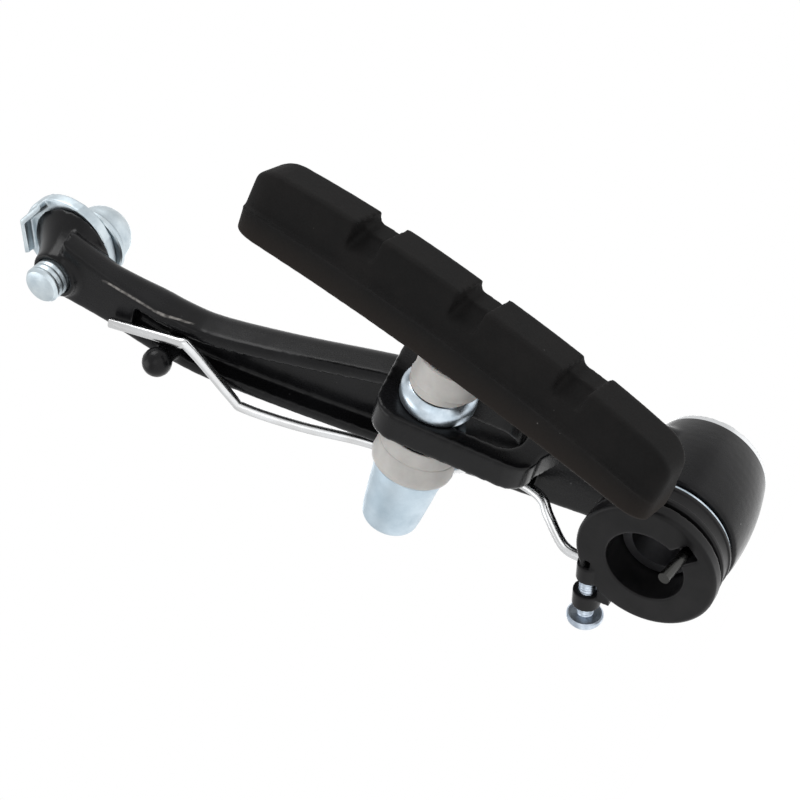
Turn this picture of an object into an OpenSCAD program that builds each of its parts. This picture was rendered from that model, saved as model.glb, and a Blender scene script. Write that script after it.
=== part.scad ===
// One arm of a bicycle linear-pull brake, with its pad, spring unit and cable clamp.
// X points to the rim, Y along the pivot to the front, Z up the arm.
// The origin lies on the pivot's axis, inside the barrel.

/* [Arm] */
// Distance from the pivot to the cable boss, measured along the arm
arm_len = 100; // [80:0.5:120]
// Angle at which the arm leans back from its barrel
arm_lean = 10; // [0:0.5:15]
// Thickness of the arm, front to back
arm_t = 7; // [5.5:0.1:9]
// Width of the arm's waist, below the cable boss
waist_w = 9; // [7:0.1:11]
// Depth of the channel in the arm's back
channel_d = 3; // [1:0.1:4]

/* [Pivot] */
// Largest radius of the barrel
barrel_r = 10.75; // [9.5:0.05:13]
// Length of the barrel
barrel_l = 16.84; // [14:0.1:20]
// Radius of the frame's brake post
post_r = 4; // [3.5:0.05:4.5]
// Outer radius of the sleeve that turns on the post
sleeve_r = 5.5; // [5:0.05:6]
// Width of the bare machined band at the barrel's mouth
band_w = 0.9; // [0.3:0.1:2]

/* [Spring unit] */
// Outer radius of the plastic rings
ring_r = 10.6; // [9.5:0.05:12]
// Thickness of the spring holder
holder_t = 2.2; // [1.5:0.1:3]
// Thickness of the return spring's wire
wire_d = 1.7; // [1.2:0.05:2]
// Mean radius of the spring's coil
coil_r = 7.75; // [7.4:0.05:8.6]
// Turns that the coil makes beyond the first part turn
coil_turns = 1; // [0:1:2]

/* [Pad lug] */
// Height of the pad's post above the pivot, along the arm
post_h = 38; // [32:0.5:46]
// Thickness of the lug plate
lug_t = 5; // [4:0.1:6]
// Length of the lug's slot
slot_l = 18.6; // [12:0.1:22]
// Width of the lug's slot
slot_w = 7.5; // [7.1:0.1:8]

/* [Pad] */
// Length of the pad
pad_l = 73.7; // [55:0.5:90]
// Thickness of the pad, base to rim face
pad_t = 11; // [8:0.1:13]
// Width of the pad's rim face
face_w = 7; // [5:0.1:10]
// Width of the pad's base
base_w = 10.2; // [8:0.1:13]
// Number of grooves across the rim face
grooves = 3; // [0:1:5]
// Width of one groove
groove_w = 4.8; // [2:0.1:6]
// Depth of one groove
groove_d = 1.5; // [0.8:0.1:3]
// Angle that the pad is turned to about its post
pad_turn = 9.8; // [-90:0.1:90]
// Toe angle of the pad's post
pad_toe = 11; // [-3:0.5:13]

/* [Fasteners] */
// Diameter of the cable clamp bolt
bolt_d = 6; // [5:0.5:6]
// Diameter of the pad's post
stud_d = 6; // [5:0.5:6]
// Diameter of the tension screw
screw_d = 2.6; // [2:0.1:3]

/* [View] */
// Sub-part to draw

/* [Hidden] */
$fn = 64;
eps = 0.01;
fit = 0.05;
gap = 0.3;

// the barrel and the rings on its back, all along Y
barrel_back = -4.2;
barrel_front = barrel_back + barrel_l;
washer_y = [barrel_back - gap - 0.7, barrel_back - gap];
cover_y = [-8.6, washer_y[0] - 0.05];
holder_y = [-9.6 - holder_t, -9.6];
sleeve_y = [-6.5, barrel_front - 0.4];

// the beam, in the leaning frame: its stations hold height, outer edge and rim-side edge
beam_back = 2.6;
beam_front = beam_back + arm_t;
waist_x = -10.1;
beam_stations = [
    [0, -9.6, 9.4],
    [12, -10.9, 7.7],
    [25, -12.2, 5.4],
    [36, -13.3, 3.2],
    [48, -14.4, 0.3],
    [62, -15.5, -3.6],
    [74, -16, -6.3],
    [80, waist_x - 0.85 - waist_w / 2, waist_x - 0.85 + waist_w / 2],
    [85, waist_x - waist_w / 2, waist_x + waist_w / 2],
    [92, -12.8, -3.4],
    [100, -11.5, -0.3]
];

// the cable boss, parallel to the pivot
boss_x = -7.1;
boss_y = [-15.5, -8];
boss_z = (arm_len + boss_y[0] * 0.5 * sin(arm_lean) + boss_y[1] * 0.5 * sin(arm_lean)) / cos(arm_lean);
bolt_end = -18.9;

// the lug plate and the point that its washers turn about
lug_x = [6.6 - lug_t, 6.6];
lug_mid = (lug_x[0] + lug_x[1]) / 2;
lug_back = -10.2;
slot_y = -3.53;
pivot_point = [lug_mid, slot_y * cos(arm_lean) - post_h * sin(arm_lean),
    slot_y * sin(arm_lean) + post_h * cos(arm_lean)];
slot_top = post_h + slot_w / 2 + 1;

// distances along the pad's post, from the pivot point
upper_ball = 7.25;
lower_ball = 6.7;
pad_base = 9.6;
cup_end = -10.5;
nut_end = -21.9;
stud_end = -17.2;
plate_at = pad_base + 1.8;
plate_t = 1.6;

// the spring's pin and the ear of its holder
pin_angle = -34.5;
pin_end = [6.4, -17.6, -3.4];
ear = [-11.9, 0, 5.8];
ear_y = -10.4;
ear_tilt = 14;

// Shapes that repeat

// Point k of n+1 on a smooth curve through four neighbours
function blend(a, b, c, d, t) =
    0.5 * (2 * b + (c - a) * t + (2 * a - 5 * b + 4 * c - d) * t * t + (3 * b - a - 3 * c + d) * t * t * t);

// Smooth row of stations through a coarse one
function smooth(rows, n) =
    let (last = len(rows) - 1)
    concat([for (i = [0 : last - 1], k = [0 : n - 1])
        blend(rows[max(i - 1, 0)], rows[i], rows[i + 1], rows[min(i + 2, last)], k / n)], [rows[last]]);

// Rounded corner: n+1 points of an arc from angle a over a quarter turn
function corner(x, y, r, a, n, z) =
    [for (k = [0 : n]) [x + r * cos(a + 90 * k / n), y + r * sin(a + 90 * k / n), z]];

// Section across the beam, with wide front corners and tight back ones
function beam_section(z, x0, x1, y0, y1, rf, rb) =
    concat(
        corner(x0 + rb, y0 + rb, rb, 180, 3, z),
        corner(x1 - 0.5, y0 + 0.5, 0.5, 270, 3, z),
        corner(x1 - rf, y1 - rf, rf, 0, 6, z),
        corner(x0 + rf, y1 - rf, rf, 90, 6, z));

// Closed skin over a stack of sections that all have the same number of points
module loft(sections) {
    rows = len(sections);
    n = len(sections[0]);
    points = [for (s = sections) each s];
    sides = [for (r = [0 : rows - 2], k = [0 : n - 1])
        [r * n + k, (r + 1) * n + k, (r + 1) * n + (k + 1) % n, r * n + (k + 1) % n]];
    bottom = [[for (k = [0 : n - 1]) k]];
    top = [[for (k = [n - 1 : -1 : 0]) (rows - 1) * n + k]];
    polyhedron(points, concat(bottom, sides, top), convexity = 6);
}

// Round bar along a path, with its rings carried along without twist
module wire(path, r, n) {
    last = len(path) - 1;
    tangents = [for (i = [0 : last]) unit(path[min(i + 1, last)] - path[max(i - 1, 0)])];
    normals = carried(tangents, [any_normal(tangents[0])], 1);
    loft([for (i = [0 : last])
        let (side = cross(tangents[i], normals[i]))
        [for (k = [0 : n - 1]) path[i] + r * (cos(360 * k / n) * normals[i] + sin(360 * k / n) * side)]]);
}

function unit(v) = v / norm(v);
function any_normal(t) = unit(cross(t, abs(t[2]) < 0.9 ? [0, 0, 1] : [1, 0, 0]));
function carried(tangents, found, i) =
    i >= len(tangents) ? found :
    let (n = found[i - 1] - (found[i - 1] * tangents[i]) * tangents[i])
    carried(tangents, concat(found, [unit(n)]), i + 1);

// Cylinder along Y between two places
module along_y(r, y, x = 0, z = 0) {
    translate([x, y[0], z]) rotate([-90, 0, 0]) cylinder(r = r, h = y[1] - y[0]);
}

// Body turned about Y from a profile of [radius, y] points
module turned_y(profile) {
    rotate([-90, 0, 0]) rotate_extrude() polygon(profile);
}

// Body turned about X from a profile of [radius, x] points
module turned_x(profile) {
    rotate([0, 90, 0]) rotate_extrude() polygon(profile);
}

// The frame that leans back with the arm
module leaning() {
    rotate([arm_lean, 0, 0]) children();
}

// The frame of the pad's post: X runs along the post to the rim, Z along the pad
module on_post() {
    translate(pivot_point) rotate([0, 0, pad_toe]) rotate([-pad_turn, 0, 0]) children();
}

// Radius of the ball zone cut off at height x
function ball_r(ball, x) = sqrt(max(ball * ball - x * x, 0));

// The sub-parts start here
function barrel_radius(y) = barrel_r - 0.0112 * y * y;

module barrel() {
    steps = 10;
    turned_y(concat(
        [[0, barrel_back]],
        [for (k = [0 : steps]) let (y = barrel_back + (barrel_l - band_w) * k / steps) [barrel_radius(y), y]],
        [[barrel_radius(barrel_front - band_w) - 0.15, barrel_front], [0, barrel_front]]));
}

// How far the beam's front falls back on its way into the boss, so that the clamp plate seats
function front_drop(z) = 1.7 * min(max((z - 84) / 8, 0), 1);

module beam() {
    scale_z = arm_len / 100;
    loft([for (s = smooth(beam_stations, 3))
        beam_section(s[0] * scale_z, s[1], s[2], beam_back, beam_front - front_drop(s[0]), 3, 0.8)]);
}

module channel() {
    inset = 2.3;
    scale_z = arm_len / 100;
    rows = [for (s = smooth(beam_stations, 3)) if (s[0] > 18 && s[0] < 88) s];
    last = len(rows) - 1;
    left = [for (s = rows) [s[1] + inset, s[0] * scale_z]];
    right = [for (i = [last : -1 : 0]) [min(rows[i][2] - inset, lug_x[0]), rows[i][0] * scale_z]];
    translate([0, beam_back + channel_d, 0]) rotate([90, 0, 0])
        linear_extrude(channel_d + 2) polygon(concat(left, right));
}

module lug_plate() {
    r = 4;
    top = slot_top + 3.2;
    low = slot_top - slot_l - 5;
    difference() {
        translate([lug_x[0], 0, 0]) rotate([90, 0, 90]) linear_extrude(lug_t)
            polygon(concat(
                [[beam_front - 1, low - 6], [beam_front - 1, top]],
                [for (k = [0 : 6]) [lug_back + r - r * sin(15 * k), top - r + r * cos(15 * k)]],
                [for (k = [0 : 6]) [lug_back + r - r * cos(15 * k), low + r + 2 - r * sin(15 * k)]],
                [[beam_back - 2, low - 2]]));
        slot();
    }
}

module slot() {
    far = slot_top - slot_l;
    translate([lug_x[0] - 1, slot_y, 0]) {
        translate([0, 0, slot_top - slot_w / 2]) rotate([0, 90, 0]) cylinder(d = slot_w, h = lug_t + 2);
        translate([0, 0, far + slot_w / 2]) rotate([0, 90, 0]) cylinder(d = slot_w, h = lug_t + 2);
        translate([0, -slot_w / 2, far + slot_w / 2]) cube([lug_t + 2, slot_w, slot_l - slot_w]);
    }
}

// Skewed cone that swells in a smooth curve from the bolt's end to the clamp face
module boss() {
    long = boss_y[1] - boss_y[0];
    rows = 9;
    translate([boss_x, 0, boss_z])
    loft([for (k = [0 : rows])
        let (t = min(k / (rows - 1), 1),
            r = bolt_d / 2 + 0.8 + 3.5 * (0.35 * t + 0.65 * t * t) - (k == rows ? 0.3 : 0),
            y = boss_y[0] + (long - 0.3) * t + (k == rows ? 0.3 : 0))
        [for (k = [47 : -1 : 0]) [r * cos(7.5 * k) - 0.4 * t, y, r * sin(7.5 * k) + 1.6 * t * t]]]);
}

module spring_stub() {
    z = 79.5 * arm_len / 100;
    translate([-12.5, 0, z]) {
        along_y(1.6, [-15, -9]);
        translate([0, -15, 0]) sphere(r = 2.4, $fn = 40);
    }
}

module arm() {
    color([0.06, 0.06, 0.065])
    difference() {
        union() {
            barrel();
            leaning() difference() {
                beam();
                channel();
            }
            leaning() lug_plate();
            boss();
            spring_stub();
        }
        along_y(sleeve_r + fit, [barrel_back - 1, barrel_front + 1]);
        along_y(bolt_d / 2 + fit, [boss_y[0] - 3, boss_y[1] + 3], boss_x, boss_z);
    }
}

module pivot_sleeve() {
    color([0.25, 0.25, 0.27])
    difference() {
        along_y(sleeve_r, sleeve_y);
        along_y(post_r + fit, [sleeve_y[0] - 1, sleeve_y[1] + 1]);
    }
}

module spring_holder() {
    bore = sleeve_r + 0.34;
    color([0.05, 0.05, 0.05])
    difference() {
        union() {
            turned_y([[bore, holder_y[0]], [ring_r - 0.4, holder_y[0]], [ring_r, holder_y[0] + 0.4],
                [ring_r, holder_y[1]], [bore, holder_y[1]]]);
            on_ear() {
                rotate([0, 90, 0]) translate([0, 0, -2.7]) cylinder(d = 4.3, h = 2.8);
                rotate([0, 90, 0]) translate([0, 0, 2.6]) cylinder(d = screw_d + 1.2, h = 3);
                translate([-0.6, -1.2, -3.9]) cube([6.4, 2.4, 2.6]);
                translate([2.6, -1.2, -3.9]) cube([3.4, 2.4, 4]);
            }
        }
        rotate([0, -pin_angle, 0]) translate([0, holder_y[0] - 1, -wire_d / 2 - 0.45])
            cube([coil_r + wire_d / 2 + 0.25, holder_t + 2, wire_d + 0.9]);
        on_ear() {
            rotate([0, 90, 0]) translate([0, 0, -5]) cylinder(r = screw_d / 2 + fit, h = 12);
            translate([0.1, -4, -1.9]) cube([2.5, 8, 4]);
        }
        along_y(bore, [holder_y[0] - 1, holder_y[1] + 1]);
    }
}

// The frame of the tension screw: X runs from its head to the ring
module on_ear() {
    translate([ear[0], ear_y, ear[2]]) rotate([0, -ear_tilt, 0]) children();
}

module spring_cover() {
    inner = coil_r + wire_d / 2 + 0.2;
    color([0.05, 0.05, 0.05])
    difference() {
        turned_y([[inner, cover_y[0]], [ring_r - 0.2, cover_y[0]], [ring_r - 0.2, cover_y[1]],
            [inner, cover_y[1]]]);
        translate([-12, cover_y[0] - 1, 1]) cube([12, cover_y[1] - cover_y[0] + 0.4, 12]);
    }
}

module pivot_washer() {
    color([0.8, 0.8, 0.82])
    difference() {
        along_y(ring_r - 0.5, washer_y);
        along_y(sleeve_r + 0.3, [washer_y[0] - 1, washer_y[1] + 1]);
    }
}

// Where the spring's wire runs: pin, coil and the long leg to the arm's stub
function spring_path() =
    let (start = holder_y[1] + wire_d / 2 + 0.15,
        swept = 145.5 + 360 * coil_turns,
        pitch = wire_d + 0.06,
        steps = 16 * (1 + coil_turns),
        rise = pitch * swept / 360,
        pin = [coil_r * cos(pin_angle), 0, coil_r * sin(pin_angle)],
        top = arm_len / 100)
    concat(
        [pin_end, pin + [0, start - 0.9, 0]],
        [for (k = [0.2, 0.6]) let (a = pin_angle - swept * k / steps)
            [coil_r * cos(a), start - (k < 0.5 ? 0.35 : 0), coil_r * sin(a)]],
        [for (k = [1 : steps]) let (a = pin_angle - swept * k / steps)
            [coil_r * cos(a), start + rise * k / steps, coil_r * sin(a)]],
        smooth([[-8.2, -7.2, 4.5], [-9.1, -7.5, 8.2], [-9.6, -8.2, 12], [-7.9, -4.6, 16.4],
            [-7.3, -3.2, 19], [-8.4, -2.3, 25], [-9.1, -2.9, 29], [-10.5, -4.1, 31.8], [-12.7, -4.9, 34.8],
            [-14.9, -4.1, 39], [-15.6, -4.3, 46.2 * top], [-17.2, -7.3, 57 * top], [-17.1, -10, 65.5 * top],
            [-15.9, -10.5, 68 * top], [-9.3, -12, 75.8 * top], [-9, -12.6, 78.5 * top],
            [-10.8, -14.4, 89 * top]], 2));

module return_spring() {
    color([0.8, 0.8, 0.82])
    wire(spring_path(), wire_d / 2, 10);
}

module tension_screw() {
    color([0.75, 0.8, 0.88])
    on_ear() {
        rotate([0, 90, 0]) translate([0, 0, -5]) cylinder(r = screw_d / 2, h = 8.6);
        difference() {
            turned_x([[0, -6.6], [1.9, -6.6], [2.7, -5.9], [2.8, -5.2], [2.6, -4.9], [0, -4.9]]);
            translate([-7, -0.4, -2]) cube([1.1, 0.8, 4]);
            translate([-7, -2, -0.4]) cube([1.1, 4, 0.8]);
        }
    }
}

module anchor_bolt() {
    seat = boss_y[1] + 2.4;
    dome = 4.3;
    round = 3.4;
    tip = seat + 6.5;
    shank = bolt_d / 2 - 0.03;
    color([0.8, 0.84, 0.9])
    translate([boss_x, 0, boss_z])
    difference() {
        turned_y(concat(
            [[0, bolt_end], [shank - 0.6, bolt_end + 0.1], [shank - 0.15, bolt_end + 0.4],
                [shank, bolt_end + 0.8], [shank, seat], [5.7, seat], [5.7, seat + 0.9], [dome + 0.3, seat + 1.5]],
            [for (k = [0 : 6]) [dome - round + round * cos(15 * k), tip - round + round * sin(15 * k)]],
            [[0, tip]]));
        translate([0, tip + 1, 0]) rotate([90, 0, 0]) cylinder(d = 5 / cos(30), h = 4, $fn = 6);
    }
}

// Plate under the bolt's head, with a lip folded down along two of its eight sides
module clamp_washer() {
    plate_r = 8.2;
    lip_t = 0.9;
    lip_y = boss_y[1] - 1.4;
    turned = -14 + 22.5;
    color([0.78, 0.82, 0.88])
    translate([boss_x, 0, boss_z])
    difference() {
        translate([-1, 0, 3.2]) rotate([-90, 0, 0]) rotate([0, 0, turned - 90]) {
            translate([0, 0, boss_y[1] + 0.3]) cylinder(r = plate_r, h = 2.05, $fn = 8);
            translate([0, 0, lip_y]) linear_extrude(boss_y[1] + 1 - lip_y) intersection() {
                difference() {
                    circle(r = plate_r, $fn = 8);
                    circle(r = plate_r - lip_t / cos(22.5), $fn = 8);
                }
                polygon([[0, 0], [20 * cos(45), -20 * sin(45)], [30, 0], [20 * cos(45), 20 * sin(45)]]);
            }
        }
        along_y(bolt_d / 2 + 0.2, [boss_y[1] - 1, boss_y[1] + 4]);
    }
}

// How far the pad's middle line bends towards the barrel's back at place z along it
function pad_bow(z) = -1.7 * pow(z / 36, 2);

// Section across the pad at place z, lower and narrower towards its rounded ends
function pad_section(z) =
    let (half = pad_l / 2,
        end_r = 4,
        near = max(end_r - (half - abs(z)), 0) / end_r,
        loss = 1 - sqrt(max(1 - near * near, 0)),
        k = 1 - 0.5 * loss,
        bow = pad_bow(z),
        rim = pad_base + pad_t + 0.45 - 1.7 * pow(z / 36, 2) - 3 * loss,
        ridge = pad_base + 0.44 * pad_t,
        w = [face_w / 2, base_w / 2 - 0.5, base_w / 2, base_w / 2 - 0.4])
    [for (q = [[rim, w[0] - 0.8], [rim - 0.3, w[0] - 0.25], [rim - 0.8, w[0]], [ridge + 0.3, w[1] - 0.15],
            [ridge, w[1]], [ridge - 0.3, w[1] - 0.1], [pad_base + 0.7, w[2]], [pad_base, w[3]],
            [pad_base, -w[3]], [pad_base + 0.7, -w[2]], [ridge - 0.3, 0.1 - w[1]], [ridge, -w[1]],
            [ridge + 0.3, 0.15 - w[1]], [rim - 0.8, -w[0]], [rim - 0.3, 0.25 - w[0]], [rim, 0.8 - w[0]]])
        [q[0], q[1] * k + bow, z]];

// Groove across the rim face, with a floor that falls off to both sides
module pad_groove(z) {
    half = groove_w / 2;
    for (side = [-1, 1])
        translate([pad_base + pad_t - groove_d, pad_bow(z), z]) rotate([0, 0, 28 * side])
            translate([0, 12, 0]) rotate([90, 0, 0]) linear_extrude(24)
                polygon([[7, half + 0.6], [0.6, half], [0.15, half - 0.25], [0, half - 0.7],
                    [0, 0.7 - half], [0.15, 0.25 - half], [0.6, -half], [7, -half - 0.6]]);
}

module brake_pad() {
    half = pad_l / 2;
    pitch = pad_l / (grooves + 1.05);
    ends = [0, 0.12, 0.45, 1, 1.8, 2.8, 4];
    stations = concat(
        [for (e = ends) e - half],
        [for (k = [1 : 9]) (2 * k / 10 - 1) * (half - 4)],
        [for (i = [6 : -1 : 0]) half - ends[i]]);
    color([0.07, 0.07, 0.075])
    on_post() difference() {
        translate([0, 0, 0.85]) loft([for (z = stations) pad_section(z)]);
        for (g = [0 : 1 : grooves - 1]) pad_groove((g - (grooves - 1) / 2) * pitch - 0.6);
        stud_space(fit);
    }
}

// The plate and the shank's root that the rubber is moulded round
module stud_space(more) {
    translate([plate_at - more, -3.2 - more, -pad_l * 0.38 - more])
        cube([plate_t + 2 * more, 6.4 + 2 * more, pad_l * 0.76 + 2 * more]);
    translate([pad_base - 1, 0, 0]) rotate([0, 90, 0])
        cylinder(r = stud_d / 2 + more, h = plate_at - pad_base + 1 + eps);
}

module pad_stud() {
    color([0.7, 0.72, 0.75])
    on_post() union() {
        stud_space(0);
        translate([stud_end, 0, 0]) rotate([0, 90, 0])
            cylinder(d = stud_d, h = pad_base - stud_end);
    }
}

module along_x(r, x) {
    translate([x[0], 0, 0]) rotate([0, 90, 0]) cylinder(r = r, h = x[1] - x[0]);
}

module upper_cup_washer() {
    r = 4.9;
    hole = stud_d / 2 + fit;
    low = ball_r(upper_ball + 0.15, r);
    color([0.75, 0.75, 0.73])
    on_post() difference() {
        turned_x([[0, low], [r, low], [r, pad_base - 0.5], [r - 0.4, pad_base - 0.05], [0, pad_base - 0.05]]);
        sphere(r = upper_ball + 0.15);
        along_x(hole, [0, pad_base + 1]);
    }
}

module upper_dome_washer() {
    flange = 5.67;
    hole = 4.5;
    seat = lug_t / 2 + 0.03;
    color([0.72, 0.76, 0.8])
    translate(pivot_point) intersection() {
        sphere(r = upper_ball);
        turned_x([[hole, seat], [flange, seat], [flange, 6], [hole, 6]]);
    }
}

module lower_dome_washer() {
    flange = 5.6;
    hole = 4.4;
    seat = -lug_t / 2 - 0.03;
    color([0.72, 0.76, 0.8])
    translate(pivot_point) difference() {
        intersection() {
            sphere(r = lower_ball);
            turned_x([[0, -9], [flange, -9], [flange, seat - 0.3], [flange - 0.3, seat], [0, seat]]);
        }
        along_x(hole, [-10, 0]);
    }
}

module lower_cup_washer() {
    rim = 5.6;
    r = 6.3;
    hole = stud_d / 2 + fit;
    edge = -ball_r(lower_ball + 0.15, rim);
    color([0.75, 0.75, 0.73])
    on_post() difference() {
        turned_x([[0, cup_end], [r - 0.6, cup_end], [r, cup_end + 1.2], [r - 0.2, cup_end + 2.2],
            [rim, edge], [0, edge]]);
        sphere(r = lower_ball + 0.15);
        along_x(hole, [-12, 0]);
    }
}

module pad_nut() {
    base = cup_end - 0.05;
    long = base - nut_end;
    color([0.8, 0.86, 0.92])
    on_post() difference() {
        turned_x(concat(
            [[0, base], [5, base], [5.3, base - 0.3], [5.3, base - 1.8], [4.5, base - 0.82 * long]],
            [for (k = [0 : 6]) [2.7 + 1.7 * cos(15 * k), nut_end + 1.7 - 1.7 * sin(15 * k)]],
            [[0, nut_end]]));
        translate([base - 7, 0, 0]) rotate([0, 90, 0]) cylinder(r = stud_d / 2 + fit, h = 8);
        translate([nut_end - 1, 0, 0]) rotate([0, 90, 0]) cylinder(d = 5 / cos(30), h = 4, $fn = 6);
    }
}

arm();
pivot_sleeve();
spring_holder();
spring_cover();
return_spring();
pivot_washer();
tension_screw();
anchor_bolt();
clamp_washer();
brake_pad();
pad_stud();
upper_cup_washer();
upper_dome_washer();
lower_dome_washer();
lower_cup_washer();
pad_nut();
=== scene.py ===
"""A bicycle v-brake arm as a product picture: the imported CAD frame, dressed.

X points to the rim, Y along the pivot to the front and Z up the arm. Sizes in the classes are
in millimetres and degrees, and become metres and radians where a piece is made.
"""
import logging
import math
from collections.abc import Iterable, Sequence
from dataclasses import dataclass
from enum import Enum

import bpy
from mathutils import Matrix, Vector

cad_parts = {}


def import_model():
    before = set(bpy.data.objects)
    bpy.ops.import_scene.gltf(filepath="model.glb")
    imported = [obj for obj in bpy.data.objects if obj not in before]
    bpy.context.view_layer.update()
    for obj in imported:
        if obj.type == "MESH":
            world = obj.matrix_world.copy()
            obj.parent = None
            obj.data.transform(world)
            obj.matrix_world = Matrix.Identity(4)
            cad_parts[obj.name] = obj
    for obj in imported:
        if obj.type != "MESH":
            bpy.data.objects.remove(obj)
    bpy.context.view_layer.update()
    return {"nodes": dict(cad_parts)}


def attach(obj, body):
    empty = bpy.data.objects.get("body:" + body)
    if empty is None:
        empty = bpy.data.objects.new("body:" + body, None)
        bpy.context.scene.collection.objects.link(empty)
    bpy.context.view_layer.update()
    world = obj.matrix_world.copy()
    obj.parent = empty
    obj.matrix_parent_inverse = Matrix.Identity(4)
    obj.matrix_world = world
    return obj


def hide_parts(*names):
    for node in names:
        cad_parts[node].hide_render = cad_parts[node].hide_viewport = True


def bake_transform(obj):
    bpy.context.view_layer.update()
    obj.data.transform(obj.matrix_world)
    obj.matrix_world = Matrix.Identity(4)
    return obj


LOG = logging.getLogger("v_brake")
MM = 0.001
SIDES = 72
FINE_SIDES = 96
Span = tuple[float, float]
Profile = Sequence[Span]
Point = tuple[float, float, float]
Colour = tuple[float, float, float]
Piece = bpy.types.Object
Material = bpy.types.Material
Socket = bpy.types.NodeSocket


class Body(Enum):
    """Moving bodies of the brake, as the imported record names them."""

    POST_UNIT = "post_unit"
    ARM = "arm"
    TENSION_SCREW = "tension_screw"
    ANCHOR_BOLT = "anchor_bolt"
    CLAMP_WASHER = "clamp_washer"
    CARRIAGE = "carriage"
    CUPS = "cups"
    PAD = "pad"


class Slot(Enum):
    """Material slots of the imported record."""

    ARM_BLACK = "arm_black"
    SLEEVE_STEEL = "sleeve_steel"
    RING_PLASTIC = "ring_plastic"
    SPRING_WIRE = "spring_wire"
    WASHER_STEEL = "washer_steel"
    SCREW_ZINC = "screw_zinc"
    BOLT_ZINC = "bolt_zinc"
    NUT_ZINC = "nut_zinc"
    CUP_NYLON = "cup_nylon"
    PAD_RUBBER = "pad_rubber"


class Turning(Enum):
    """Where a turned piece's axis points, as the turn that takes Z there."""

    ALONG_X = Matrix.Rotation(math.radians(90), 4, "Y").freeze()
    ALONG_Y = Matrix.Rotation(math.radians(-90), 4, "X").freeze()


@dataclass(frozen=True)
class BrakeFrame:
    """Driving sizes that the sub-assemblies share."""

    arm_lean: float = 10.0
    post_h: float = 38.0
    slot_y: float = -3.53
    lug_mid: float = 4.1
    pad_toe: float = 11.0
    pad_turn: float = 9.8
    barrel_y: Span = (-4.2, 12.64)
    boss: Span = (-7.1, 99.4708)
    boss_y: Span = (-15.5, -8.0)

    @property
    def pivot_point(self) -> Vector:
        """Point that the pad's post and its washers turn about."""
        lean = math.radians(self.arm_lean)
        return Vector((
            self.lug_mid,
            self.slot_y * math.cos(lean) - self.post_h * math.sin(lean),
            self.slot_y * math.sin(lean) + self.post_h * math.cos(lean),
        ))

    def at(self, x: float, y: float, z: float) -> Matrix:
        """Makes the translation to a place.

        Args:
            x, y, z: the place in millimetres.

        Returns:
            The translation in metres.
        """
        return Matrix.Translation(Vector((x, y, z)) * MM)

    def on_post(self) -> Matrix:
        """Frame of the pad's post: X along the post to the rim, Z along the pad."""
        toe = Matrix.Rotation(math.radians(self.pad_toe), 4, "Z")
        turn = Matrix.Rotation(math.radians(-self.pad_turn), 4, "X")
        return Matrix.Translation(self.pivot_point * MM) @ toe @ turn

    def post_axis(self) -> Matrix:
        """Turning axis along the pad's post, towards the rim."""
        return self.on_post() @ Turning.ALONG_X.value

    def lug_axis(self) -> Matrix:
        """Turning axis through the lug's slot, square to the lug plate."""
        return Matrix.Translation(self.pivot_point * MM) @ Turning.ALONG_X.value

    def bolt_axis(self) -> Matrix:
        """Turning axis of the cable bolt, towards the front."""
        return self.at(self.boss[0], 0, self.boss[1]) @ Turning.ALONG_Y.value


def clear_selection() -> None:
    """Leaves edit mode and deselects everything."""
    if bpy.context.object and bpy.context.object.mode != "OBJECT":
        bpy.ops.object.mode_set(mode="OBJECT")
    bpy.ops.object.select_all(action="DESELECT")


def pick(piece: Piece) -> None:
    """Makes one piece the only selected and active one."""
    clear_selection()
    piece.select_set(True)
    bpy.context.view_layer.objects.active = piece


def settle(piece: Piece, place: Matrix) -> Piece:
    """Puts a piece in its place and writes the place into its mesh.

    Args:
        piece: the piece, modelled about the origin.
        place: where it goes.

    Returns:
        The same piece, with its object at the origin.
    """
    pick(piece)
    piece.matrix_world = place @ piece.matrix_world
    bpy.ops.object.transform_apply(location=True, rotation=True, scale=True)
    return piece


def turned(name: str, profile: Profile, place: Matrix, ring: bool = False,
           sides: int = SIDES) -> Piece:
    """Turns a piece: a circle that is extruded and resized from station to station.

    Args:
        name: the piece's name.
        profile: (radius, station) in millimetres, from one end to the other.
        place: matrix that takes the turning axis Z to its place.
        ring: True where the profile closes on itself, as a washer's does.
        sides: number of sides round the axis.

    Returns:
        The new piece.
    """
    clear_selection()
    radius, station = profile[0]
    bpy.ops.mesh.primitive_circle_add(vertices=sides, radius=radius * MM, fill_type="NOTHING")
    piece = bpy.context.active_object
    piece.name = name
    bpy.ops.object.mode_set(mode="EDIT")
    bpy.ops.mesh.select_all(action="SELECT")
    bpy.ops.transform.translate(value=(0, 0, station * MM))
    for next_radius, next_station in profile[1:]:
        rise = (next_station - station) * MM
        bpy.ops.mesh.extrude_region_move(TRANSFORM_OT_translate={"value": (0, 0, rise)})
        scale = next_radius / radius
        bpy.ops.transform.resize(value=(scale, scale, 1), center_override=(0, 0, next_station * MM))
        radius, station = next_radius, next_station
    bpy.ops.mesh.select_all(action="DESELECT")
    bpy.ops.mesh.select_mode(type="EDGE")
    bpy.ops.mesh.select_non_manifold()
    if ring:
        bpy.ops.mesh.bridge_edge_loops()
    else:
        bpy.ops.mesh.fill_holes(sides=0)
    bpy.ops.mesh.select_all(action="SELECT")
    bpy.ops.mesh.normals_make_consistent(inside=False)
    bpy.ops.mesh.select_mode(type="VERT")
    return settle(piece, place)


def block(name: str, low: Sequence[float], high: Sequence[float], place: Matrix) -> Piece:
    """Cuts a block to size, as a tool or as stock for another piece.

    Args:
        name: the block's name.
        low, high: its two corners in millimetres.
        place: matrix that puts it where it is needed.

    Returns:
        The new block.
    """
    clear_selection()
    middle = [(a + b) / 2 * MM for a, b in zip(low, high)]
    size = [(b - a) * MM for a, b in zip(low, high)]
    bpy.ops.mesh.primitive_cube_add(size=1, location=middle, scale=size)
    piece = bpy.context.active_object
    piece.name = name
    return settle(piece, place)


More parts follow.
